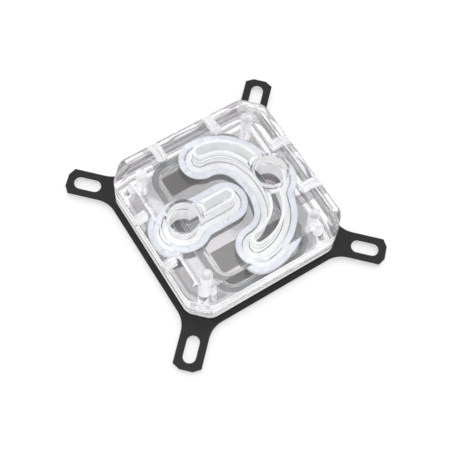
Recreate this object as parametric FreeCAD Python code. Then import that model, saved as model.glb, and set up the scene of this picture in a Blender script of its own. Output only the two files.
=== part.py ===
"""Cold plate for a processor, with a clear block of coolant channels on a four-armed bracket.

Millimetres, +Z up. The origin is the centre of the copper contact face, which rests on the
processor. X and Y run along the bracket's arms. The block stands square to the bracket's
ring, so its sides face the diagonals: it is drawn along its own sides and then turned.
"""
import FreeCAD, Part
import math
import os

Vec = FreeCAD.Vector
UP = Vec(0, 0, 1)

# The stack, from the contact face up
BOSS_PROUD = 2.0          # contact boss below the underside of the bracket
BRACKET_T = 2.0
FLANGE_T = 2.3            # thin rim of the cold plate
LOWER_T = 4.7             # lower clear plate
UPPER_T = 13.7            # upper clear block

# Outline that the cold plate and both clear plates share
SIDE = 65.6
CORNER_CUT = 6.7          # how far each corner is cut back along a side
BEVEL = 4.7               # bevel round the top of the block, as wide as it is high
TOP_CORNER_R = 0.5        # rounding that the bevel leaves on the corners of the top face
BLOCK_TURN = -45.0        # from the block's sides to the bracket's arms

# Bracket
RING_SIDE = 69.7
ARM_REACH = 61.8          # from the centre to the end of an arm
ARM_W = 10.6
ARM_ROOT_R = 10.2
TIP_CUT_ALONG = 1.7
TIP_CUT_ACROSS = 2.8
SLOT_CENTRE_R = 53.75     # studs stand 72 to 80 mm apart on the square
SLOT_W = 4.8
SLOT_L = 10.4
BOSS_PLAY = 1.0           # between the boss and the opening of the ring

# Cold plate
BOSS_X = 46.0             # along the fins
BOSS_Y = 36.0
BOSS_R = 5.0
FIN_FIELD_X = 44.0        # length of the fins
FIN_FIELD_Y = 30.0
FIN_PITCH = 0.9
FIN_T = 0.4
FIN_H = 2.5

# Chamber over the fins, in the underside of the lower plate
CHAMBER_X = 47.0
CHAMBER_Y = 32.0
CHAMBER_R = 5.0
CHAMBER_H = 1.2
JET_PLATE_X = 26.4
JET_PLATE_PLAY = 0.3      # to each wall of the chamber
JET_SLOT_W = 2.4
JET_SLOT_L = 9.0
JET_SLOT_BACK = 3.5       # from the middle towards the inlet port

# Channels in the underside of the upper block
PORT_Y = 18.5             # the ports stand at plus and minus this
CHANNEL_W = 5.6
CHANNEL_H = 11.4
INLET_END = 0.2           # the inlet channel's round end is centred this far short of the middle
LEG_X = 20.0              # legs of the arched outlet channel
LEG_END_Y = 0.5
LEG_BEND_R = 14.8
ARCH_R = 30.2
OUTLET_HOLE_D = 4.0

# Seals
SEAL_WALL = 2.8           # clear wall between a channel and its gasket
PORT_SEAL_WALL = 2.8      # and between a port's well and the gasket
SEAL_NECK_R = 3.0         # outer corner where a gasket swells round its port
SEAL_W = 2.3
SEAL_H = 1.4
SEAL_PLAY = 0.05          # beside a gasket in its groove
BASE_SEAL_WALL = 1.2

# Ports, G 1/4
PORT_BORE_R = 5.9
PORT_MOUTH_R = 6.75
PORT_THREAD = 6.0
WELL_R = 5.2              # plain bore below the thread
COLLAR_WALL = 1.7         # wall round the thread, where a channel passes below it

# Screws, M4 with a low head, up from under the bracket
SCREW_AT = 22.7           # from the centre, along both sides
SCREW_R = 2.0
SCREW_HOLE_R = 2.15       # clearance through bracket, cold plate and lower plate
TAPPED_DEPTH = 12.0
TAPPED_PLAY = 0.1         # round the screw in its tapped hole
SCREW_REACH = 6.0         # thread in the upper block
SCREW_HEAD_R = 3.5
SCREW_HEAD_H = 1.6
HEX_SIZE = 2.5
HEX_DEPTH = 1.0

# Blind holes drilled in from the sides of the upper block
SIDE_HOLE_D = 4.2
SIDE_HOLE_DEPTH = 6.8
SIDE_HOLE_RISE = 4.0      # above the joint
SIDE_HOLE_X = 10.2
BACK_HOLE_Y = 11.7

# Heights that follow from the stack
Z_BRACKET = BOSS_PROUD
Z_FLANGE = Z_BRACKET + BRACKET_T
Z_LOWER = Z_FLANGE + FLANGE_T
Z_JOINT = Z_LOWER + LOWER_T
Z_TOP = Z_JOINT + UPPER_T
CORNER_R = BEVEL + TOP_CORNER_R


def rounded_wire(corners, z):
    """Closed wire through (x, y, radius) corners, rounded by tangent arcs where the radius isn't 0."""
    stops = []
    for i, (x, y, radius) in enumerate(corners):
        here = Vec(x, y, z)
        before = Vec(*corners[i - 1][:2], z) - here
        after = Vec(*corners[(i + 1) % len(corners)][:2], z) - here
        half = before.getAngle(after) / 2
        run = radius / math.tan(half)
        before.normalize()
        after.normalize()
        middle = (before + after).normalize()
        nearest = here + middle * (radius / math.sin(half) - radius)
        stops.append((here + before * run, nearest, here + after * run, radius))
    edges = []
    for i, (start, middle, end, radius) in enumerate(stops):
        if radius > 0:
            edges.append(Part.Arc(start, middle, end).toShape())
        edges.append(Part.LineSegment(end, stops[(i + 1) % len(stops)][0]).toShape())
    return Part.Wire(edges)


def prism(wire, height):
    """Solid of the given height on a closed wire."""
    return Part.Face(wire).extrude(UP * height)


def octagon(side, cut, radius, z):
    """Square of the given side with its corners cut back and rounded."""
    half = side / 2
    inner = half - cut
    corners = [(half, -inner), (half, inner), (inner, half), (-inner, half),
               (-half, inner), (-half, -inner), (-inner, -half), (inner, -half)]
    return rounded_wire([(x, y, radius) for x, y in corners], z)


def rectangle(length, width, radius, z):
    """Rounded rectangle round the axis."""
    x, y = length / 2, width / 2
    return rounded_wire([(x, -y, radius), (x, y, radius), (-x, y, radius), (-x, -y, radius)], z)


def slot_wire(length, width, z):
    """Slot with round ends, along X round the axis."""
    x, y = (length - width) / 2, width / 2
    edges = [Part.LineSegment(Vec(-x, -y, z), Vec(x, -y, z)).toShape(),
             Part.Arc(Vec(x, -y, z), Vec(x + y, 0, z), Vec(x, y, z)).toShape(),
             Part.LineSegment(Vec(x, y, z), Vec(-x, y, z)).toShape(),
             Part.Arc(Vec(-x, y, z), Vec(-x - y, 0, z), Vec(-x, -y, z)).toShape()]
    return Part.Wire(edges)


def turned(shape, angle):
    """Copy turned about the vertical axis."""
    copy = shape.copy()
    copy.rotate(Vec(0, 0, 0), UP, angle)
    return copy


def moved(shape, x, y):
    """Copy moved sideways."""
    copy = shape.copy()
    copy.translate(Vec(x, y, 0))
    return copy


def at_screws(shape):
    """The four copies of a shape that stands on the axis, at the screws."""
    places = [(SCREW_AT, SCREW_AT), (-SCREW_AT, SCREW_AT), (-SCREW_AT, -SCREW_AT), (SCREW_AT, -SCREW_AT)]
    return [moved(shape, x, y) for x, y in places]


def screw_holes(z, height):
    """Clearance holes for the four screws."""
    return at_screws(Part.makeCylinder(SCREW_HOLE_R, height, Vec(0, 0, z)))


# ---------------------------------------------------------------- channels and seals

def widened(face, distance):
    """Face with its outline moved out by a distance, or in if it is negative."""
    return Part.Face(face.OuterWire.makeOffset2D(distance))


def inlet_face(half_w):
    """Plan of the straight inlet channel, from its port to above the jet slot."""
    run = PORT_Y - INLET_END
    band = Part.Face(slot_wire(run + 2 * half_w, 2 * half_w, Z_JOINT))
    return moved(turned(band, 90), 0, -INLET_END - run / 2)


def arc_through(centre, radius, start, end):
    """Arc edge about a centre, between two angles."""
    stops = [centre + Vec(math.cos(a), math.sin(a), 0) * radius for a in (start, (start + end) / 2, end)]
    return Part.Arc(*stops).toShape()


def outlet_face(half_w):
    """Plan of the arched outlet channel, a band along three tangent arcs."""
    side_x = LEG_X - LEG_BEND_R
    drop = math.sqrt((ARCH_R - LEG_BEND_R) ** 2 - side_x ** 2)
    tilt = math.atan2(drop, side_x)
    crown = Vec(0, LEG_END_Y - drop, Z_JOINT)
    edges = [arc_through(Vec(side_x, LEG_END_Y, Z_JOINT), LEG_BEND_R, 0, tilt),
             arc_through(crown, ARCH_R, tilt, math.pi - tilt),
             arc_through(Vec(-side_x, LEG_END_Y, Z_JOINT), LEG_BEND_R, math.pi - tilt, math.pi)]
    return Part.Face(Part.Wire(edges).makeOffset2D(half_w))


def channel(face, port_y):
    """Channel on its plan, left shallow where the port's threaded collar stands in it."""
    collar_r = PORT_BORE_R + COLLAR_WALL
    collar = Part.makeCylinder(collar_r, UPPER_T, Vec(0, port_y, Z_TOP - PORT_THREAD))
    return face.extrude(UP * CHANNEL_H).cut(collar)


def gasket_face(channel_plan, port_y):
    """Plan inside a gasket: the channel's plan, swollen round its port."""
    bulb = Part.Face(Part.Wire(Part.makeCircle(WELL_R + PORT_SEAL_WALL, Vec(0, port_y, Z_JOINT))))
    plan = channel_plan.fuse(bulb).removeSplitter().Faces[0]
    neck = SEAL_NECK_R + SEAL_W
    return widened(widened(plan, neck), -neck)


def inlet_seal_face():
    return gasket_face(inlet_face(CHANNEL_W / 2 + SEAL_WALL), -PORT_Y)


def outlet_seal_face():
    return gasket_face(outlet_face(CHANNEL_W / 2 + SEAL_WALL), PORT_Y)


def seal_ring(face, play):
    """Ring that runs round a plan, with the given play on both flanks."""
    return widened(face, SEAL_W + play).cut(widened(face, -play)).extrude(UP * SEAL_H)


def chamber_face(wall):
    """Plan of the chamber over the fins, moved out by a wall."""
    outline = rectangle(CHAMBER_X + 2 * wall, CHAMBER_Y + 2 * wall, CHAMBER_R + wall, Z_LOWER)
    return Part.Face(outline)


def jet_slot(z, height):
    """Slot that lets the coolant down onto the middle of the fins."""
    slot = turned(prism(slot_wire(JET_SLOT_L, JET_SLOT_W, z), height), 90)
    return moved(slot, 0, -JET_SLOT_BACK)


# ---------------------------------------------------------------- pieces

def upper_block():
    """Clear block with the ports, the channels, the seal grooves and the blind holes."""
    body = prism(octagon(SIDE, CORNER_CUT, CORNER_R, Z_JOINT), UPPER_T)
    rim = [edge for edge in body.Edges if min(v.Z for v in edge.Vertexes) > Z_JOINT + UPPER_T / 2]
    body = body.makeChamfer(BEVEL, rim)

    cuts = [channel(inlet_face(CHANNEL_W / 2), -PORT_Y),
            channel(outlet_face(CHANNEL_W / 2), PORT_Y),
            seal_ring(inlet_seal_face(), SEAL_PLAY),
            seal_ring(outlet_seal_face(), SEAL_PLAY)]
    for y in (-PORT_Y, PORT_Y):
        cuts += port(y)
    cuts += at_screws(Part.makeCylinder(SCREW_R + TAPPED_PLAY, TAPPED_DEPTH, Vec(0, 0, Z_JOINT)))
    cuts += side_holes()
    return body.cut(cuts).removeSplitter()


def port(y):
    """Threaded bore with a bevelled mouth, and the well below it."""
    bore = Part.makeCylinder(PORT_BORE_R, PORT_THREAD, Vec(0, y, Z_TOP - PORT_THREAD))
    lead = PORT_MOUTH_R - PORT_BORE_R
    mouth = Part.makeCone(PORT_BORE_R, PORT_MOUTH_R, lead, Vec(0, y, Z_TOP - lead))
    well = Part.makeCylinder(WELL_R, UPPER_T - PORT_THREAD, Vec(0, y, Z_JOINT))
    return [bore, mouth, well]


def side_holes():
    """Blind holes, two in each of the port sides and two in the side between them."""
    mouth = Vec(-SIDE / 2, 0, Z_JOINT + SIDE_HOLE_RISE)
    drill = Part.makeCylinder(SIDE_HOLE_D / 2, SIDE_HOLE_DEPTH, mouth, Vec(1, 0, 0))
    holes = []
    for angle, spread in ((0, BACK_HOLE_Y), (90, SIDE_HOLE_X), (-90, SIDE_HOLE_X)):
        holes += [turned(moved(drill, 0, y), angle) for y in (-spread, spread)]
    return holes


def lower_plate():
    """Clear plate that closes the channels and holds the chamber over the fins."""
    body = prism(octagon(SIDE, CORNER_CUT, CORNER_R, Z_LOWER), LOWER_T)
    cuts = [chamber_face(0).extrude(UP * CHAMBER_H),
            seal_ring(chamber_face(BASE_SEAL_WALL), SEAL_PLAY),
            jet_slot(Z_LOWER, LOWER_T)]
    for x in (-LEG_X, LEG_X):
        cuts.append(Part.makeCylinder(OUTLET_HOLE_D / 2, LOWER_T, Vec(x, LEG_END_Y, Z_LOWER)))
    cuts += screw_holes(Z_LOWER, LOWER_T)
    return body.cut(cuts)


def cold_plate():
    """Copper plate with a raised contact face below and fine fins cut into its top."""
    flange = prism(octagon(SIDE, CORNER_CUT, CORNER_R, Z_FLANGE), FLANGE_T)
    boss = prism(rectangle(BOSS_X, BOSS_Y, BOSS_R, 0), Z_FLANGE)
    body = flange.fuse(boss).removeSplitter()
    gap = FIN_PITCH - FIN_T
    count = int(FIN_FIELD_Y / FIN_PITCH)
    first = -((count - 1) * FIN_PITCH + gap) / 2
    cuts = screw_holes(Z_FLANGE, FLANGE_T)
    for i in range(count):
        corner = Vec(-FIN_FIELD_X / 2, first + i * FIN_PITCH, Z_LOWER - FIN_H)
        cuts.append(Part.makeBox(FIN_FIELD_X, gap, FIN_H, corner))
    return body.cut(cuts)


def jet_plate():
    """Metal plate that covers the middle of the fins and has the jet slot."""
    width = CHAMBER_Y - 2 * JET_PLATE_PLAY
    plate = Part.makeBox(JET_PLATE_X, width, CHAMBER_H, Vec(-JET_PLATE_X / 2, -width / 2, Z_LOWER))
    return plate.cut(jet_slot(Z_LOWER, CHAMBER_H))


def mounting_bracket():
    """Flat ring with four slotted arms, drawn along its arms."""
    half_w = ARM_W / 2
    root = RING_SIDE / math.sqrt(2) - half_w
    tip_y = half_w - TIP_CUT_ACROSS
    shoulder = ARM_REACH - TIP_CUT_ALONG
    arm = [(root, -half_w, ARM_ROOT_R), (shoulder, -half_w, 0), (ARM_REACH, -tip_y, 0),
           (ARM_REACH, tip_y, 0), (shoulder, half_w, 0), (root, half_w, ARM_ROOT_R)]
    corners = []
    for quarter in range(4):
        c, s = [(1, 0), (0, 1), (-1, 0), (0, -1)][quarter]
        corners += [(x * c - y * s, x * s + y * c, radius) for x, y, radius in arm]
    plate = prism(rounded_wire(corners, Z_BRACKET), BRACKET_T)

    opening = rectangle(BOSS_X + 2 * BOSS_PLAY, BOSS_Y + 2 * BOSS_PLAY, BOSS_R + BOSS_PLAY, Z_BRACKET)
    cuts = [turned(prism(opening, BRACKET_T), BLOCK_TURN)]
    slot = moved(prism(slot_wire(SLOT_L, SLOT_W, Z_BRACKET), BRACKET_T), SLOT_CENTRE_R, 0)
    cuts += [turned(slot, 90 * quarter) for quarter in range(4)]
    cuts += [turned(hole, BLOCK_TURN) for hole in screw_holes(Z_BRACKET, BRACKET_T)]
    return plate.cut(cuts)


def screws():
    """Low-headed screws with a hexagon socket, seated on the underside of the bracket."""
    foot = Z_BRACKET - SCREW_HEAD_H
    head = Part.makeCylinder(SCREW_HEAD_R, SCREW_HEAD_H, Vec(0, 0, foot))
    shank = Part.makeCylinder(SCREW_R, Z_JOINT + SCREW_REACH - foot, Vec(0, 0, foot))
    corner = HEX_SIZE / math.sqrt(3)
    angles = [math.radians(60 * i) for i in range(7)]
    hexagon = Part.makePolygon([Vec(corner * math.cos(a), corner * math.sin(a), foot) for a in angles])
    screw = head.fuse(shank).removeSplitter().cut(prism(hexagon, HEX_DEPTH))
    return at_screws(screw)


def write(name, solids):
    """Turn the solids to the frame and write them as one STEP file."""
    shapes = [turned(solid, BLOCK_TURN) for solid in solids]
    shape = shapes[0] if len(shapes) == 1 else Part.makeCompound(shapes)
    shape.exportStep(f"parts/{name}.step")


def main():
    os.makedirs("parts", exist_ok=True)
    write("upper_block", upper_block().Solids)
    write("lower_plate", lower_plate().Solids)
    write("cold_plate", cold_plate().Solids)
    write("jet_plate", jet_plate().Solids)
    write("inlet_gasket", seal_ring(inlet_seal_face(), 0).Solids)
    write("outlet_gasket", seal_ring(outlet_seal_face(), 0).Solids)
    write("base_gasket", seal_ring(chamber_face(BASE_SEAL_WALL), 0).Solids)
    write("bracket_screws", screws())
    write("mounting_bracket", [turned(mounting_bracket(), -BLOCK_TURN)])


main()
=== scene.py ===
"""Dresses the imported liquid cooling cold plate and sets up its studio.

Metres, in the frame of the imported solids: the origin is the centre of the contact face, +Z up,
X and Y along the bracket's arms. The clear block stands turned by 45 degrees between them.
"""
import math

import bmesh
import bpy
from bpy.props import FloatProperty, FloatVectorProperty, PointerProperty
from mathutils import Matrix, Vector


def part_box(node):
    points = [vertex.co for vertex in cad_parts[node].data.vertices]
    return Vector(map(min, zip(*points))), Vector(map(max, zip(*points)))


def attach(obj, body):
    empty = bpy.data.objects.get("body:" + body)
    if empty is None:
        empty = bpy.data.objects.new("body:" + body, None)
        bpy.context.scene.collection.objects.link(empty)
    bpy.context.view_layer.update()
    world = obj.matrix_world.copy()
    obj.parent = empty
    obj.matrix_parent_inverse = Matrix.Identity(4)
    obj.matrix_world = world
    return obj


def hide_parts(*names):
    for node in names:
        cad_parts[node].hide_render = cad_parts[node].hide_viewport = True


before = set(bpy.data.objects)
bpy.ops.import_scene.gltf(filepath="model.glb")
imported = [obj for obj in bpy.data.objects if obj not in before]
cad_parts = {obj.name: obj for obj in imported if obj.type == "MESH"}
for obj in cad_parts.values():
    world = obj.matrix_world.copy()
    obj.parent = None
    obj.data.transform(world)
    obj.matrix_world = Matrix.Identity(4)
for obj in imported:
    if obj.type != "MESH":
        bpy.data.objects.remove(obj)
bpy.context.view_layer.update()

bl_info = {
    "name": "Liquid cooling cold plate",
    "version": (1, 0, 0),
    "blender": (4, 5, 0),
    "location": "3D View > Sidebar > Cold plate",
    "description": "Clear block, seals, plated plate, screws and bracket of a processor cold plate",
    "category": "Object",
}

MM = 0.001
HALF_TURN = math.sqrt(0.5)

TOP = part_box("upper_block")[1].z
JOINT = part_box("upper_block")[0].z
LOWER_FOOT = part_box("lower_plate")[0].z
CHAMBER_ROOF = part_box("jet_plate")[1].z
BRACKET_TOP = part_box("mounting_bracket")[1].z
BRACKET_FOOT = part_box("mounting_bracket")[0].z
GROOVE_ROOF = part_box("inlet_gasket")[1].z
SCREW_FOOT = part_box("bracket_screws")[0].z
SCREW_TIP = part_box("bracket_screws")[1].z
HEAD_R = 3.5 * MM
SCREW_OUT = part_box("bracket_screws")[1].x - HEAD_R
BLIND_R = 2.1 * MM
CHANNEL_ROOF = JOINT + 11.4 * MM
BEVEL = 4.7 * MM
DRILL_HALF_ANGLE = math.radians(59)
ACRYLIC_IOR = 1.49
RIM_OUT = 23.5 * MM
FIN_FIELD_X = 44.0 * MM
FIN_FIELD_Y = 30.0 * MM
TARGET = Vector((1.21 * MM, -3.89 * MM, BRACKET_TOP))
LAMP_SIZE = 0.6
LAMP_POWER = 0.72
LAMPS = {
    "front": (0.03, -0.27, 0.62),
    "left": (-0.27, 0.0, 0.62),
    "right": (0.27, 0.0, 0.62),
}


def colour_property(name, text, default):
    """Colour with a plain name and description."""
    return FloatVectorProperty(name=name, description=text, default=default, size=3,
                               min=0, max=1, subtype="COLOR")


def length_property(name, text, default):
    """Length in metres."""
    return FloatProperty(name=name, description=text, default=default, min=0,
                         subtype="DISTANCE", unit="LENGTH", precision=5)


class AcrylicSettings(bpy.types.PropertyGroup):
    """Clear block and clear lower plate."""
    seam: length_property("Seam", "Air film between the clear plates", 0.03 * MM)
    tint: colour_property("Tint", "Tint of the clear plastic", (0.975, 0.985, 0.985))
    frost: colour_property("Milled wall", "Whitish haze of milled walls", (0.98, 0.98, 0.985))
    stripes: length_property("Stripes", "Spacing of the cutter's marks on the sides", 1.6 * MM)
    land_edge: length_property("Land edge", "Clear rim along the edges of a sealing land", 0.25 * MM)
    # Painted highlight: a ring of white haze along a channel's flat roof stands in for the bright
    # band that a rounded roof edge reflects.
    roof_highlight_ring: length_property("Roof ring", "Milled ring along a channel's roof", 1.1 * MM)
    passes: length_property("Passes", "Height of the cutter's passes down a wall", 1.6 * MM)
    frost_share: FloatProperty(name="Haze", description="Share of white haze on a milled wall",
                               default=0.7, min=0, max=1, subtype="FACTOR")
    thread_pitch: length_property("Thread pitch", "Pitch of the port threads", 1.337 * MM)


class SealSettings(bpy.types.PropertyGroup):
    """Pale gaskets and the dark base gasket."""
    silicone: colour_property("Silicone", "Colour of the translucent gaskets", (0.70, 0.715, 0.785))
    black: colour_property("Black rubber", "Colour of the base gasket", (0.15, 0.15, 0.154))
    edge: length_property("Edge", "Rounding of a gasket's edges", 0.35 * MM)


class MetalSettings(bpy.types.PropertyGroup):
    """Cold plate, jet plate, screws and bracket."""
    nickel: colour_property("Nickel", "Plated plate", (0.50, 0.465, 0.48))
    # Painted shade: a dark colour for the top of the fins' area, standing in for the shade that
    # falls between the fine fins.
    fin_shade: colour_property("Fins", "Dull floor and flanks of the fine fins", (0.17, 0.145, 0.135))
    # Lines of darker and lighter nickel painted along the rim, parallel to the plate's edges; the
    # solids hold no marks there.
    facing: length_property("Rim lines", "Spacing of the tone lines along the rim", 1.1 * MM)
    steel: colour_property("Steel", "Screws and jet plate", (0.46, 0.43, 0.44))
    cut: colour_property("Cut edge", "Bare edges of the bracket", (0.72, 0.72, 0.73))
    coating: colour_property("Coating", "Black coating of the bracket", (0.010, 0.0095, 0.0095))
    screw_pitch: length_property("Screw pitch", "Pitch of the screws' thread", 0.7 * MM)


class StudioSettings(bpy.types.PropertyGroup):
    """Camera, floor and lights."""
    azimuth: FloatProperty(name="Azimuth", description="Camera's turn round the object",
                           default=math.radians(7.06), subtype="ANGLE")
    elevation: FloatProperty(name="Elevation", description="Camera's height above the horizon",
                             default=math.radians(66.1), subtype="ANGLE")
    roll: FloatProperty(name="Roll", description="Camera's turn about its own axis",
                        default=math.radians(6.48), subtype="ANGLE")
    distance: length_property("Distance", "Camera to its target", 379.2 * MM)
    lens: FloatProperty(name="Lens", description="Focal length in mm", default=80.3, min=1)
    backdrop: colour_property("Backdrop", "Colour behind the object", (1.0, 1.0, 1.0))


# ---------------------------------------------------------------- shader expressions

class Wire:
    """A node's output socket, or a number, that Python's operators turn into Math nodes."""

    def __init__(self, shader, socket):
        self.shader = shader
        self.socket = socket

    def math(self, operation, *others):
        return self.shader.node("ShaderNodeMath", {"operation": operation}, self, *others)

    def __add__(self, other):
        return self.math("ADD", other)

    def __radd__(self, other):
        return self.math("ADD", other)

    def __sub__(self, other):
        return self.math("SUBTRACT", other)

    def __rsub__(self, other):
        return self.shader.node("ShaderNodeMath", {"operation": "SUBTRACT"}, other, self)

    def __mul__(self, other):
        return self.math("MULTIPLY", other)

    def __rmul__(self, other):
        return self.math("MULTIPLY", other)

    def __truediv__(self, other):
        return self.math("DIVIDE", other)

    def __rtruediv__(self, other):
        return self.shader.node("ShaderNodeMath", {"operation": "DIVIDE"}, other, self)

    def __gt__(self, other):
        return self.math("GREATER_THAN", other)

    def __lt__(self, other):
        return self.math("LESS_THAN", other)

    def __abs__(self):
        return self.math("ABSOLUTE")

    def smooth(self, low, high):
        """0 below low, 1 above high, and an even ramp between them."""
        settings = {"interpolation_type": "SMOOTHSTEP"}
        return self.shader.node("ShaderNodeMapRange", settings, self, low, high, 0.0, 1.0)


class Shader:
    """One node material, or the world, built from a few calls."""

    def __init__(self, owner):
        owner.use_nodes = True
        self.owner = owner
        self.tree = owner.node_tree
        self.tree.nodes.clear()

    def node(self, kind, settings=None, *values, out=0, **named):
        """New node: its settings first, then its inputs by place or by name."""
        made = self.tree.nodes.new(kind)
        for name, value in (settings or {}).items():
            setattr(made, name, value)
        inputs = list(enumerate(values)) + [(k.replace("_", " "), v) for k, v in named.items()]
        for key, value in inputs:
            socket = made.inputs[key]
            if isinstance(value, Wire):
                self.tree.links.new(value.socket, socket)
            elif value is not None:
                socket.default_value = value
        return Wire(self, made.outputs[out])

    def place(self):
        """Object coordinates."""
        return self.node("ShaderNodeTexCoord", None, out="Object")

    def vector(self, x, y, z):
        """Vector from three parts."""
        return self.node("ShaderNodeCombineXYZ", None, x, y, z)

    def split(self, vector):
        """The x, y and z of a vector."""
        first = self.node("ShaderNodeSeparateXYZ", None, vector)
        outputs = first.socket.node.outputs
        return [Wire(self, outputs[i]) for i in range(3)]

    def noise(self, scale, detail=2.0, roughness=0.5, vector=None):
        """Soft noise from 0 to 1."""
        return self.node("ShaderNodeTexNoise", None, Vector=vector or self.place(), Scale=scale,
                         Detail=detail, Roughness=roughness, out=0)

    def blend(self, share, first, second):
        """Mix of two colours."""
        made = self.tree.nodes.new("ShaderNodeMix")
        made.data_type = "RGBA"
        for key, value in ((0, share), (6, first), (7, second)):
            if isinstance(value, Wire):
                self.tree.links.new(value.socket, made.inputs[key])
            else:
                made.inputs[key].default_value = value if key == 0 else (*value, 1.0)
        return Wire(self, made.outputs[2])

    def bump(self, height, distance, strength=1.0):
        """Normal from a height."""
        return self.node("ShaderNodeBump", None, Height=height, Distance=distance,
                         Strength=strength)

    def principled(self, **named):
        return self.node("ShaderNodeBsdfPrincipled", None, **named)

    def mix(self, share, first, second):
        return self.node("ShaderNodeMixShader", None, share, first, second)

    def finish(self, surface):
        kind = "World" if isinstance(self.owner, bpy.types.World) else "Material"
        made = self.tree.nodes.new("ShaderNodeOutput" + kind)
        self.tree.links.new(surface.socket, made.inputs["Surface"])
        return self.owner


def new_shader(name):
    return Shader(bpy.data.materials.new(name))


def rgba(colour):
    return (*colour, 1.0)


# ---------------------------------------------------------------- materials

def polished_acrylic(settings):
    """Clear plastic with a polished face."""
    shader = new_shader("polished_acrylic")
    return shader.finish(shader.principled(Base_Color=rgba(settings.tint), Roughness=0.0,
                                           IOR=ACRYLIC_IOR, Transmission_Weight=1.0))


def hazed(shader, settings, share, normal, clear_roughness, haze_roughness):
    """Mix of clear plastic and whitish haze."""
    clear = shader.principled(Base_Color=rgba(settings.tint), Roughness=clear_roughness,
                              IOR=ACRYLIC_IOR, Transmission_Weight=1.0, Normal=normal)
    haze = shader.principled(Base_Color=rgba(settings.frost), Roughness=haze_roughness,
                             Normal=normal)
    return shader.finish(shader.mix(share, clear, haze))


def milled_acrylic(settings):
    """Clear plastic with the fine haze that a milling cutter leaves."""
    shader = new_shader("milled_acrylic")
    grain = shader.noise(2500.0, 3.0)
    x, y, z = shader.split(shader.place())
    level = shader.vector(x * 25.0, y * 25.0, z / settings.passes)
    mark = shader.noise(1.0, 2.0, 0.5, level)
    share = mark.smooth(0.42, 0.55) * 0.5 + (settings.frost_share - 0.4)
    return hazed(shader, settings, share, shader.bump(grain, 0.02 * MM, 0.5), 0.32, 0.6)


def threaded_acrylic(settings):
    """Milled wall of a port, with its thread as a fine relief."""
    shader = new_shader("threaded_acrylic")
    x, y, z = shader.split(shader.place())
    side = (x + y).math("SIGN")
    port = PORT_OUT * HALF_TURN
    angle = (y - side * port).math("ARCTAN2", x - side * port)
    turn = z / settings.thread_pitch + angle / math.tau
    ridge = turn.math("PINGPONG", 0.5) * 2.0
    share = ridge * 0.15 + (settings.frost_share + 0.15)
    return hazed(shader, settings, share, shader.bump(ridge, 0.2 * MM, 1.0), 0.25, 0.5)


def land_acrylic(settings):
    """White milled finish of sealing lands and tapped holes; on the rims of the flat channel roofs
    the same white haze is a painted highlight.
    """
    shader = new_shader("land_acrylic")
    grain = shader.noise(900.0, 3.0, 0.6)
    cloud = shader.noise(120.0, 2.0)
    share = grain * 0.2 + cloud * 0.3 + (settings.frost_share - 0.1)
    return hazed(shader, settings, share, shader.bump(grain, 0.03 * MM, 0.6), 0.25, 0.5)


def sided_acrylic(settings):
    """Outer wall of a clear plate, with the level marks of the cutter."""
    shader = new_shader("sided_acrylic")
    x, y, z = shader.split(shader.place())
    level = shader.vector(x * 5.0, y * 5.0, z / settings.stripes)
    mark = shader.noise(1.0, 3.0, 0.6, level)
    share = mark.smooth(0.46, 0.54) * 0.8 + (settings.frost_share - 0.6)
    return hazed(shader, settings, share, shader.bump(mark, 0.1 * MM, 1.0), 0.05, 0.5)


def silicone(settings):
    """Translucent, slightly blue gasket rubber."""
    shader = new_shader("silicone")
    cloud = shader.noise(180.0, 2.0)
    glass = shader.principled(Base_Color=rgba(settings.silicone), Roughness=cloud * 0.15 + 0.2,
                              IOR=1.41, Transmission_Weight=1.0)
    body = shader.principled(Base_Color=rgba(settings.silicone), Roughness=0.7)
    return shader.finish(shader.mix(0.85, glass, body))


def black_rubber(settings):
    """Dark rubber of the base gasket."""
    shader = new_shader("black_rubber")
    grain = shader.noise(900.0, 4.0)
    normal = shader.bump(grain, 0.02 * MM, 0.6)
    return shader.finish(shader.principled(Base_Color=rgba(settings.black),
                                           Roughness=grain * 0.2 + 0.45, Normal=normal))


def plated_metal(settings):
    """Nickel plating: tone lines along the rim, painted shade over the fins' area, a plain
    underside.
    """
    shader = new_shader("plated_metal")
    x, y, z = shader.split(shader.place())
    along = shader.vector((x - y) * 40.0, (x + y) * 4000.0, z * 4000.0)
    grain = shader.noise(1.0, 3.0, 0.6, along)
    top = z > BRACKET_TOP - 0.5 * MM
    stain = shader.noise(60.0, 3.0).smooth(0.4, 0.7) * top
    tone = shader.blend(stain, settings.nickel, [c * 0.86 for c in settings.nickel])
    out = (abs(x - y) * HALF_TURN).math("MAXIMUM", abs(x + y) * HALF_TURN)
    # Painted lines along the rim: nickel at 0.45 and 1.6 times its colour, alternating with the
    # distance from the centre.
    lines = shader.noise(1.0, 3.0, 0.65, shader.vector(out / settings.facing, 0.5, 0.5))
    dark, light = ([c * share for c in settings.nickel] for share in (0.45, 1.6))
    rim = shader.blend(lines.smooth(0.42, 0.58), dark, light)
    tone = shader.blend((out > RIM_OUT) * top, tone, rim)
    # Painted shade: the top of the fins' area takes the dark colour of the fins' shade in place of
    # the nickel.
    field = (abs(x - y) < FIN_FIELD_X * HALF_TURN) * (abs(x + y) < FIN_FIELD_Y * HALF_TURN)
    tone = shader.blend(field * top, tone, settings.fin_shade)
    normal = shader.bump(grain, 0.0004 * MM, 0.3)
    return shader.finish(shader.principled(Base_Color=tone, Metallic=1.0,
                                           Roughness=grain * 0.04 + 0.01, Normal=normal))


def plain_steel(settings):
    """Turned stainless steel."""
    shader = new_shader("plain_steel")
    x, y, z = shader.split(shader.place())
    along = shader.vector((x + y) * 60.0, (x - y) * 1500.0, z * 1500.0)
    grain = shader.noise(1.0, 3.0, 0.5, along)
    return shader.finish(shader.principled(Base_Color=rgba(settings.steel), Metallic=1.0,
                                           Roughness=grain * 0.06 + 0.04,
                                           Normal=shader.bump(grain, 0.0005 * MM, 0.5)))


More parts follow.
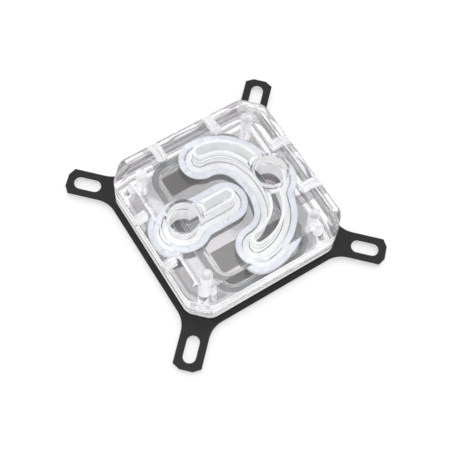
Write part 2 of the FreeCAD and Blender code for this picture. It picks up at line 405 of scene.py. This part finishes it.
def coated_bracket(settings):
    """Satin black faces and bright cut edges."""
    shader = new_shader("coated_bracket")
    facing = shader.node("ShaderNodeNewGeometry", None, out="Normal")
    up = abs(shader.split(facing)[2])
    face = up.smooth(0.75, 0.95)
    grain = shader.noise(1400.0, 4.0, 0.6)
    x, y, z = shader.split(shader.place())
    streak = shader.noise(1.0, 2.0, 0.5, shader.vector(x * 300.0, y * 300.0, z * 4000.0))
    paint = shader.principled(Base_Color=rgba(settings.coating), Roughness=grain * 0.14 + 0.42,
                              Specular_IOR_Level=0.3, Normal=shader.bump(grain, 0.01 * MM, 0.5))
    edge = shader.principled(Base_Color=rgba(settings.cut), Metallic=1.0,
                             Roughness=streak * 0.2 + 0.3,
                             Normal=shader.bump(streak, 0.01 * MM, 0.5))
    return shader.finish(shader.mix(face, edge, paint))


# ---------------------------------------------------------------- mesh helpers

def new_piece(name, bm, *materials):
    """Object for a finished bmesh, which rides on the only body."""
    mesh = bpy.data.meshes.new(name)
    bm.to_mesh(mesh)
    bm.free()
    piece = bpy.data.objects.new(name, mesh)
    bpy.context.scene.collection.objects.link(piece)
    for material in materials:
        mesh.materials.append(material)
    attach(piece, "root")
    return piece


def solid_copy(node):
    """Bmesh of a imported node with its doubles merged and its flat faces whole."""
    bm = bmesh.new()
    bm.from_mesh(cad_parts[node].data)
    bmesh.ops.remove_doubles(bm, verts=bm.verts, dist=0.001 * MM)
    bmesh.ops.dissolve_limit(bm, angle_limit=math.radians(0.5), verts=bm.verts, edges=bm.edges)
    return bm


def lift(bm, level, rise):
    """Moves all points of one height."""
    layer = [v for v in bm.verts if abs(v.co.z - level) < 0.002 * MM]
    bmesh.ops.translate(bm, verts=layer, vec=(0, 0, rise))


def shade(bm, limit=32.0):
    """Smooth faces with sharp edges where they meet at more than the limit."""
    for face in bm.faces:
        face.smooth = True
    for edge in bm.edges:
        edge.smooth = len(edge.link_faces) == 2 and edge.calc_face_angle(0.0) < math.radians(limit)


def level_faces(bm, height):
    """Level faces at one height, in the mesh's own order."""
    return [f for f in bm.faces
            if abs(f.normal.z) > 0.99 and abs(f.calc_center_median().z - height) < 0.1 * MM]


def block_place(point):
    """Point along the clear block's own sides."""
    return (point.x - point.y) * HALF_TURN, (point.x + point.y) * HALF_TURN


def dress_node(node, *materials):
    """New materials on a node that keeps its own mesh."""
    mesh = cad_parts[node].data
    mesh.materials.clear()
    for material in materials:
        mesh.materials.append(material)


HALF_SIDE = max(abs(block_place(v.co)[0]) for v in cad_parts["upper_block"].data.vertices)
CORNER_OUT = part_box("upper_block")[1].x
PORT_OUT = 18.5 * MM
PORT_R = 5.9 * MM


def is_outer(centre, margin=1.0 * MM):
    """True for a place on the outline that both clear plates share."""
    x, y = block_place(centre)
    corner = (abs(x) + abs(y)) * HALF_TURN > CORNER_OUT - margin / 2
    return max(abs(x), abs(y)) > HALF_SIDE - margin or corner


def is_screw_place(centre, reach=4 * MM):
    """True for a place beside one of the four screws."""
    x, y = sorted((abs(centre.x), abs(centre.y)))
    return math.hypot(y - SCREW_OUT, x) < reach


def is_port_wall(centre):
    """True for a place on the thread of a port."""
    x, y = block_place(centre)
    return abs(math.hypot(x, abs(y) - PORT_OUT) - PORT_R) < 0.15 * MM


# ---------------------------------------------------------------- operators

class PLATE_OT_upper_block(bpy.types.Operator):
    """Add the clear block with polished faces, milled walls and port threads"""
    bl_idname = "cold_plate.upper_block"
    bl_label = "Clear block"

    def execute(self, context):
        settings = context.scene.cold_plate_acrylic
        bm = solid_copy("upper_block")
        lift(bm, JOINT, settings.seam)
        self.point_blind_holes(bm)
        shade(bm)
        for face in bm.faces:
            face.material_index = self.finish_of(face)
        lands = self.lands(bm)
        bmesh.ops.inset_region(bm, faces=lands, thickness=settings.land_edge, use_even_offset=True)
        # Painted highlight: the ring inset round each channel roof gets the white haze of the lands.
        highlight_rings = bmesh.ops.inset_region(bm, faces=level_faces(bm, CHANNEL_ROOF),
                                       thickness=settings.roof_highlight_ring, use_even_offset=True)
        for face in lands + highlight_rings["faces"]:
            face.material_index = 4
        piece = new_piece("clear_block", bm, polished_acrylic(settings), milled_acrylic(settings),
                          threaded_acrylic(settings), sided_acrylic(settings),
                          land_acrylic(settings))
        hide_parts("upper_block")
        return {"FINISHED"}

    @staticmethod
    def lands(bm):
        """Level faces of the joint that lie inside the gaskets."""
        level = level_faces(bm, JOINT)
        waiting = set(level)
        inner = []
        for start in level:
            if start not in waiting:
                continue
            waiting.remove(start)
            patch = [start]
            for face in patch:
                for edge in face.edges:
                    for other in edge.link_faces:
                        if other in waiting:
                            waiting.remove(other)
                            patch.append(other)
            if not any(is_outer(v.co) for face in patch for v in face.verts):
                inner += patch
        return inner

    @staticmethod
    def point_blind_holes(bm):
        """Turns the flat ends of the blind holes into the points of a drill."""
        disc = math.pi * BLIND_R ** 2
        ends = [f for f in bm.faces if len(f.verts) > 12 and abs(f.calc_area() / disc - 1) < 0.08]
        depth = BLIND_R / math.tan(DRILL_HALF_ANGLE)
        bmesh.ops.poke(bm, faces=ends, offset=-depth, center_mode="MEAN")

    @staticmethod
    def finish_of(face):
        """0 polished, 1 milled, 2 threaded, 3 outer side, 4 white."""
        centre = face.calc_center_median()
        steep = abs(face.normal.z) < 0.05
        if steep and is_outer(centre, 0.3 * MM):
            return 3
        if centre.z > TOP - 0.9 * MM or abs(face.normal.z) > 0.99:
            return 0
        if is_outer(centre) or (centre.z > TOP - BEVEL and abs(face.normal.z - HALF_TURN) < 0.2):
            return 0
        if steep and is_screw_place(centre):
            return 4
        return 2 if steep and is_port_wall(centre) else 1


class PLATE_OT_lower_plate(bpy.types.Operator):
    """Add the clear lower plate"""
    bl_idname = "cold_plate.lower_plate"
    bl_label = "Clear lower plate"

    def execute(self, context):
        settings = context.scene.cold_plate_acrylic
        bm = solid_copy("lower_plate")
        lift(bm, LOWER_FOOT, settings.seam)
        lift(bm, CHAMBER_ROOF, settings.seam)
        shade(bm)
        for face in bm.faces:
            centre = face.calc_center_median()
            clear = abs(face.normal.z) > 0.99 or is_screw_place(centre)
            face.material_index = 0 if clear else 2 if is_outer(centre) else 1
        names = ("polished_acrylic", "milled_acrylic", "sided_acrylic")
        materials = [bpy.data.materials[name] for name in names]
        piece = new_piece("clear_lower_plate", bm, *materials)
        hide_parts("lower_plate")
        return {"FINISHED"}


class PLATE_OT_gaskets(bpy.types.Operator):
    """Add the two translucent gaskets and the black base gasket"""
    bl_idname = "cold_plate.gaskets"
    bl_label = "Gaskets"

    def execute(self, context):
        settings = context.scene.cold_plate_seal
        seam = context.scene.cold_plate_acrylic.seam
        pale = silicone(settings)
        black = black_rubber(settings)
        for node, material, slot in (("inlet_gasket", pale, "pale_gasket"),
                                     ("outlet_gasket", pale, "pale_gasket"),
                                     ("base_gasket", black, "black_seal")):
            bm = solid_copy(node)
            low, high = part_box(node)
            lift(bm, low.z, seam * 1.5)
            lift(bm, high.z, -seam)
            rims = [e for e in bm.edges if len(e.link_faces) == 2 and e.calc_face_angle(0.0) > 1.0]
            bmesh.ops.bevel(bm, geom=rims, offset=settings.edge, offset_type="OFFSET", segments=3,
                            profile=0.5, affect="EDGES", material=-1, clamp_overlap=True)
            shade(bm, 50.0)
            for face in bm.faces:
                face.smooth = abs(face.normal.z) < 0.99
            piece = new_piece(node + "_ring", bm, material)
            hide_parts(node)
        return {"FINISHED"}


class PLATE_OT_screws(bpy.types.Operator):
    """Add the four low-headed screws with their threads"""
    bl_idname = "cold_plate.screws"
    bl_label = "Screws"

    def execute(self, context):
        settings = context.scene.cold_plate_metal
        material = plain_steel(settings)
        for number, (x, y) in enumerate(((1, 0), (0, 1), (-1, 0), (0, -1)), 1):
            place = Vector((x * SCREW_OUT, y * SCREW_OUT, 0))
            piece = new_piece(f"screw_{number}", self.screw(place, settings.screw_pitch), material)
            if number == 1:
                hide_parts("bracket_screws")
        return {"FINISHED"}

    @staticmethod
    def screw(place, pitch):
        """Screw spun from its profile; the thread is the profile's zigzag spun with a rise."""
        shank_r = 2.0 * MM - 0.02 * MM
        root_r = 1.6 * MM
        bm = bmesh.new()
        start = BRACKET_TOP + 0.2 * MM
        turns = int((SCREW_TIP - 0.4 * MM - start) / pitch) - 1
        points = []
        for i in range(turns):
            z = start + i * pitch
            points += [(root_r, z), (shank_r, z + pitch * 0.4), (shank_r, z + pitch * 0.6)]
        points.append((root_r, start + turns * pitch))
        rail = [bm.verts.new((r, 0, z)) for r, z in points]
        edges = [bm.edges.new(pair) for pair in zip(rail, rail[1:])]
        bmesh.ops.spin(bm, geom=rail + edges, cent=(0, 0, 0), axis=(0, 0, 1),
                       dvec=(0, 0, pitch / 32), angle=math.tau, steps=32)
        bmesh.ops.remove_doubles(bm, verts=bm.verts, dist=0.002 * MM)
        head_h = BRACKET_FOOT - SCREW_FOOT
        head = bmesh.ops.create_cone(bm, cap_ends=True, segments=48, radius1=HEAD_R - 0.01 * MM,
                                     radius2=HEAD_R - 0.01 * MM, depth=head_h)
        bmesh.ops.translate(bm, verts=head["verts"], vec=(0, 0, SCREW_FOOT + head_h / 2))
        rim = [e for e in bm.edges if e.is_manifold
               and abs(sum(v.co.z for v in e.verts) / 2 - SCREW_FOOT) < 0.01 * MM]
        bmesh.ops.bevel(bm, geom=rim, offset=0.25 * MM, offset_type="OFFSET", segments=3,
                        profile=0.5, affect="EDGES", material=-1)
        base = [f for f in bm.faces if f.normal.z < -0.99
                and f.calc_center_median().z < SCREW_FOOT + 0.01 * MM]
        bmesh.ops.inset_region(bm, faces=base, thickness=HEAD_R - 1.9 * MM, use_even_offset=True)
        socket = bmesh.ops.extrude_face_region(bm, geom=base)
        floor = [v for v in socket["geom"] if isinstance(v, bmesh.types.BMVert)]
        bmesh.ops.translate(bm, verts=floor, vec=(0, 0, 1.0 * MM))
        bmesh.ops.delete(bm, geom=base, context="FACES_ONLY")
        core = bmesh.ops.create_cone(bm, cap_ends=True, segments=32, radius1=root_r + 0.02 * MM,
                                     radius2=root_r + 0.02 * MM, depth=SCREW_TIP - BRACKET_FOOT)
        bmesh.ops.translate(bm, verts=core["verts"], vec=(0, 0, (SCREW_TIP + BRACKET_FOOT) / 2))
        bmesh.ops.recalc_face_normals(bm, faces=bm.faces)
        shade(bm, 35.0)
        bmesh.ops.translate(bm, verts=bm.verts, vec=place)
        return bm


class PLATE_OT_metal(bpy.types.Operator):
    """Finish the cold plate, the jet plate and the bracket"""
    bl_idname = "cold_plate.metal"
    bl_label = "Metal plates"

    def execute(self, context):
        settings = context.scene.cold_plate_metal
        plated = plated_metal(settings)
        dress_node("cold_plate", plated)
        dress_node("jet_plate", bpy.data.materials["plain_steel"])
        dress_node("mounting_bracket", coated_bracket(settings))
        return {"FINISHED"}


class PLATE_OT_studio(bpy.types.Operator):
    """Set the camera, the floor, the backdrop and the lights"""
    bl_idname = "cold_plate.studio"
    bl_label = "Studio"

    def execute(self, context):
        settings = context.scene.cold_plate_studio
        self.camera(settings)
        self.floor(settings)
        self.world(settings)
        for name, place in LAMPS.items():
            self.lamp(name, place, LAMP_SIZE, LAMP_POWER)
        context.scene.view_settings.view_transform = "Standard"
        context.scene.cycles.max_bounces = 48
        context.scene.cycles.transmission_bounces = 48
        context.scene.cycles.glossy_bounces = 24
        context.scene.cycles.diffuse_bounces = 24
        context.scene.cycles.blur_glossy = 0.0
        return {"FINISHED"}

    @staticmethod
    def camera(settings):
        a, e = settings.azimuth, settings.elevation
        back = Vector((math.sin(a) * math.cos(e), -math.cos(a) * math.cos(e), math.sin(e)))
        data = bpy.data.cameras.new("camera")
        data.lens = settings.lens
        data.sensor_width = 36.0
        data.clip_start = 0.01
        camera = bpy.data.objects.new("camera", data)
        bpy.context.scene.collection.objects.link(camera)
        camera.location = TARGET + back * settings.distance
        turn = (-back).to_track_quat("-Z", "Y").to_matrix() @ Matrix.Rotation(settings.roll, 3, "Z")
        camera.rotation_euler = turn.to_euler()
        bpy.context.scene.camera = camera

    @staticmethod
    def open_rays(shader):
        """1 for camera, glossy and transmission rays."""
        path = shader.tree.nodes.new("ShaderNodeLightPath")
        wire = [Wire(shader, path.outputs[name]) for name in
                ("Is Camera Ray", "Is Glossy Ray", "Is Transmission Ray")]
        return wire[0].math("MAXIMUM", wire[1]).math("MAXIMUM", wire[2])

    def floor(self, settings):
        bm = bmesh.new()
        bmesh.ops.create_grid(bm, x_segments=1, y_segments=1, size=3.0)
        mesh = bpy.data.meshes.new("floor")
        bm.to_mesh(mesh)
        bm.free()
        floor = bpy.data.objects.new("floor", mesh)
        floor.location.z = -0.01 * MM
        bpy.context.scene.collection.objects.link(floor)
        shader = new_shader("floor")
        plain = shader.principled(Base_Color=(0.95, 0.95, 0.95, 1.0), Roughness=0.9)
        white = shader.node("ShaderNodeEmission", None, rgba(settings.backdrop), 1.0)
        mesh.materials.append(shader.finish(shader.mix(self.open_rays(shader) * 0.6, plain, white)))

    def world(self, settings):
        world = bpy.data.worlds.new("studio")
        bpy.context.scene.world = world
        shader = Shader(world)
        white = shader.node("ShaderNodeBackground", None, rgba(settings.backdrop), 1.0)
        soft = shader.node("ShaderNodeBackground", None, rgba(settings.backdrop), 0.85)
        shader.finish(shader.mix(self.open_rays(shader), soft, white))

    @staticmethod
    def lamp(name, place, size, power):
        data = bpy.data.lights.new(name, "AREA")
        data.size = size
        data.energy = power
        lamp = bpy.data.objects.new(name, data)
        lamp.location = place
        lamp.rotation_euler = (-Vector(place)).to_track_quat("-Z", "Y").to_euler()
        bpy.context.scene.collection.objects.link(lamp)


class PLATE_PT_panel(bpy.types.Panel):
    """Lists the steps that dress the cold plate"""
    bl_label = "Cold plate"
    bl_idname = "PLATE_PT_panel"
    bl_space_type = "VIEW_3D"
    bl_region_type = "UI"
    bl_category = "Cold plate"

    def draw(self, context):
        for name, group in GROUPS.items():
            column = self.layout.column(align=True)
            for prop in group.__annotations__:
                column.prop(getattr(context.scene, name), prop)
        for operator in STEPS:
            self.layout.operator(operator.bl_idname)


GROUPS = {
    "cold_plate_acrylic": AcrylicSettings,
    "cold_plate_seal": SealSettings,
    "cold_plate_metal": MetalSettings,
    "cold_plate_studio": StudioSettings,
}
STEPS = [PLATE_OT_upper_block, PLATE_OT_lower_plate, PLATE_OT_gaskets, PLATE_OT_screws,
         PLATE_OT_metal, PLATE_OT_studio]


def register():
    for group in GROUPS.values():
        bpy.utils.register_class(group)
    for name, group in GROUPS.items():
        setattr(bpy.types.Scene, name, PointerProperty(type=group))
    for step in STEPS:
        bpy.utils.register_class(step)
    bpy.utils.register_class(PLATE_PT_panel)


def unregister():
    bpy.utils.unregister_class(PLATE_PT_panel)
    for step in reversed(STEPS):
        bpy.utils.unregister_class(step)
    for name, group in GROUPS.items():
        delattr(bpy.types.Scene, name)
        bpy.utils.unregister_class(group)


def main():
    register()
    bpy.ops.cold_plate.upper_block()
    bpy.ops.cold_plate.lower_plate()
    bpy.ops.cold_plate.gaskets()
    bpy.ops.cold_plate.screws()
    bpy.ops.cold_plate.metal()
    bpy.ops.cold_plate.studio()


if __name__ == "__main__":
    main()
